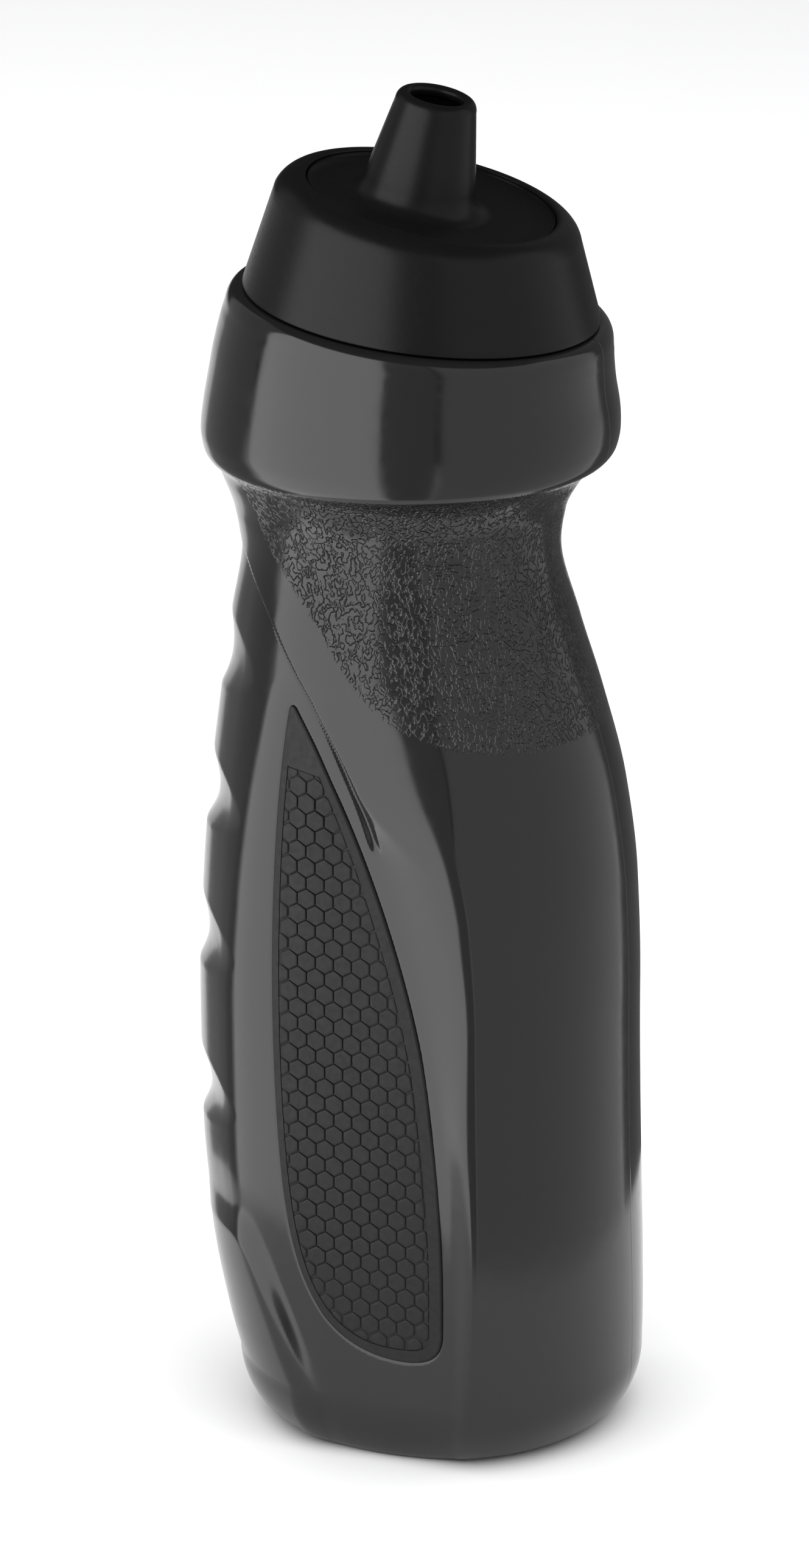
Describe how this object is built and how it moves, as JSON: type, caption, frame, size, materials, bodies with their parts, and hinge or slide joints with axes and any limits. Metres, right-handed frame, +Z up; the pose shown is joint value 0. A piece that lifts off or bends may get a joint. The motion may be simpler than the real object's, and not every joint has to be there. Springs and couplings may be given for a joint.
{
  "type": "sports squeeze bottle",
  "caption": "Squeezable sports drinking bottle with a waisted, finger-grooved body, soft side grip pads, and a screw-on lid with a fixed spout and self-closing slit valve",
  "frame": {"origin": "under the middle of the whole object's box, on the surface that the base stands on", "axes": "+Z up the bottle, +X to the front where the waist is cut in and the lid leans, -X to the finger grooves, +Y to the bottle's left"},
  "size_m": [0.0812, 0.074, 0.2464],
  "materials": {
    "body": "charcoal squeezable polyethylene, glossy, with a leather-like grain round the waist",
    "pad": "matte black soft rubber with a shallow honeycomb of grooves",
    "lid": "satin black moulded polypropylene",
    "seal": "soft black silicone",
    "retainer": "matte black moulded plastic"
  },
  "bodies": {
    "bottle": {"bottle_body": "body", "grip_pad_right": "pad", "grip_pad_left": "pad"},
    "lid_seal": {"lid_gasket": "seal"},
    "lid": {"lid_shell": "lid", "spout_insert": "lid", "valve_ring": "seal", "valve_retainer": "retainer"},
    "flap_1": {"valve_petal_1": "seal"},
    "flap_2": {"valve_petal_2": "seal"},
    "flap_3": {"valve_petal_3": "seal"},
    "flap_4": {"valve_petal_4": "seal"}
  },
  "joints": [
    {"name": "lid_lift", "type": "slide", "parent": "bottle", "child": "lid_seal", "axis": [0.117, 0, 0.9931], "range_m": [0, 0.018]},
    {"name": "lid_turn", "type": "hinge", "parent": "lid_seal", "child": "lid", "pos_m": [-0.00032, 0, 0.20807], "axis": [0.117, 0, 0.9931], "range_deg": [0, 1440]},
    {"name": "flap_1_bend", "type": "hinge", "parent": "lid", "child": "flap_1", "pos_m": [0.00201, 0.00375, 0.22355], "axis": [-0.6927, 0.7071, 0.1419], "range_deg": [0, 45], "stiffness_Nm_per_rad": 0.00002},
    {"name": "flap_2_bend", "type": "hinge", "parent": "lid", "child": "flap_2", "pos_m": [-0.00533, 0.00375, 0.22505], "axis": [-0.6927, -0.7071, 0.1419], "range_deg": [0, 45], "stiffness_Nm_per_rad": 0.00002},
    {"name": "flap_3_bend", "type": "hinge", "parent": "lid", "child": "flap_3", "pos_m": [-0.00533, -0.00375, 0.22505], "axis": [0.6927, -0.7071, -0.1419], "range_deg": [0, 45], "stiffness_Nm_per_rad": 0.00002},
    {"name": "flap_4_bend", "type": "hinge", "parent": "lid", "child": "flap_4", "pos_m": [0.00201, -0.00375, 0.22355], "axis": [0.6927, 0.7071, -0.1419], "range_deg": [0, 45], "stiffness_Nm_per_rad": 0.00002}
  ],
  "couplings": [
    {"joint": "lid_lift", "follows": "lid_turn", "m_per_rad": 0.0007162},
    {"joint": "flap_2_bend", "follows": "flap_1_bend", "ratio": 1},
    {"joint": "flap_3_bend", "follows": "flap_1_bend", "ratio": 1},
    {"joint": "flap_4_bend", "follows": "flap_1_bend", "ratio": 1}
  ]
}
